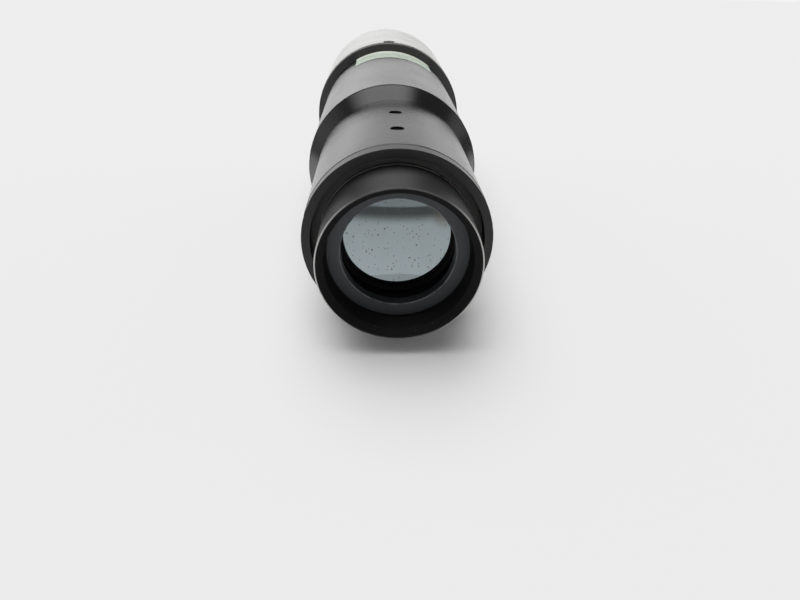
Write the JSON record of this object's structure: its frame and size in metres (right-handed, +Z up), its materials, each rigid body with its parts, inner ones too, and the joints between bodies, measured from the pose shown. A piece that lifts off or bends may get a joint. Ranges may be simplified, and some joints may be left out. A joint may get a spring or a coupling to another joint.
{
  "type": "barlow lens",
  "caption": "Barlow lens for 1.25 in fittings: black stepped barrel, sliding lens nosepiece, turning chrome eyepiece head with clamp ring and lock screw.",
  "frame": {"origin": "on the optical axis, in the plane of the front collar's face, where the nosepiece comes out of the barrel", "axes": "+Y along the optical axis from the telescope end to the eyepiece end, +Z up through the lock screw, +X to the right seen from the telescope end's front"},
  "size_m": [0.05, 0.157, 0.05],
  "materials": {
    "black_anodised": "satin black anodised, fine turning marks, bright metal where the edges are worn",
    "blue_black_ring": "satin blue-black anodised with a worn bright inner edge",
    "flat_black": "matt black anodised, threaded or grooved against stray light",
    "coated_glass": "polished, blue-grey reflecting coating, a little dust",
    "chrome_plate": "satin chrome, slightly hazed",
    "black_steel": "black oxide steel",
    "brass": "turned brass",
    "nylon": "natural nylon",
    "label_paper": "pale green vinyl label, blank"
  },
  "bodies": {
    "lens_tube": {"nosepiece": "black_anodised", "front_retaining_ring": "blue_black_ring", "lens_cell": "flat_black", "lens_lock_ring": "flat_black", "front_element": "coated_glass", "rear_element": "coated_glass", "draw_sleeve": "black_anodised", "sleeve_stop_ring": "flat_black"},
    "barrel": {"front_collar": "black_anodised", "front_barrel": "black_anodised", "front_guide_bush": "flat_black", "rear_guide_bush": "flat_black", "friction_screws": "black_steel", "friction_pads": "nylon", "coupling_cone": "black_anodised", "rear_barrel": "black_anodised", "barrel_baffles": "flat_black", "baffle_spacers": "flat_black", "swivel_spigot": "black_anodised", "end_ring": "black_anodised", "label": "label_paper"},
    "head": {"eyepiece_head": "chrome_plate", "eyepiece_collet": "brass"},
    "clamp": {"clamp_ring": "chrome_plate"},
    "lock_pad": {"lock_screw_pad": "brass"},
    "lock_screw": {"lock_screw": "black_steel"}
  },
  "joints": [
    {"name": "draw", "type": "slide", "parent": "lens_tube", "child": "barrel", "axis": [0, 1, 0], "range_m": [0, 0.018]},
    {"name": "head_turn", "type": "hinge", "parent": "barrel", "child": "head", "pos_m": [0, 0.106, 0], "axis": [0, 1, 0], "continuous": true},
    {"name": "clamp_turn", "type": "hinge", "parent": "head", "child": "clamp", "pos_m": [0, 0.139, 0], "axis": [0, 1, 0], "range_deg": [0, 90]},
    {"name": "lock_screw_lift", "type": "slide", "parent": "head", "child": "lock_pad", "axis": [0, 0, 1], "range_m": [0, 0.001]},
    {"name": "lock_screw_turn", "type": "hinge", "parent": "lock_pad", "child": "lock_screw", "pos_m": [0, 0.106, 0], "axis": [0, 0, 1], "range_deg": [0, 721]}
  ],
  "couplings": [
    {"joint": "lock_screw_turn", "follows": "lock_screw_lift", "rad_per_m": 12566}
  ]
}
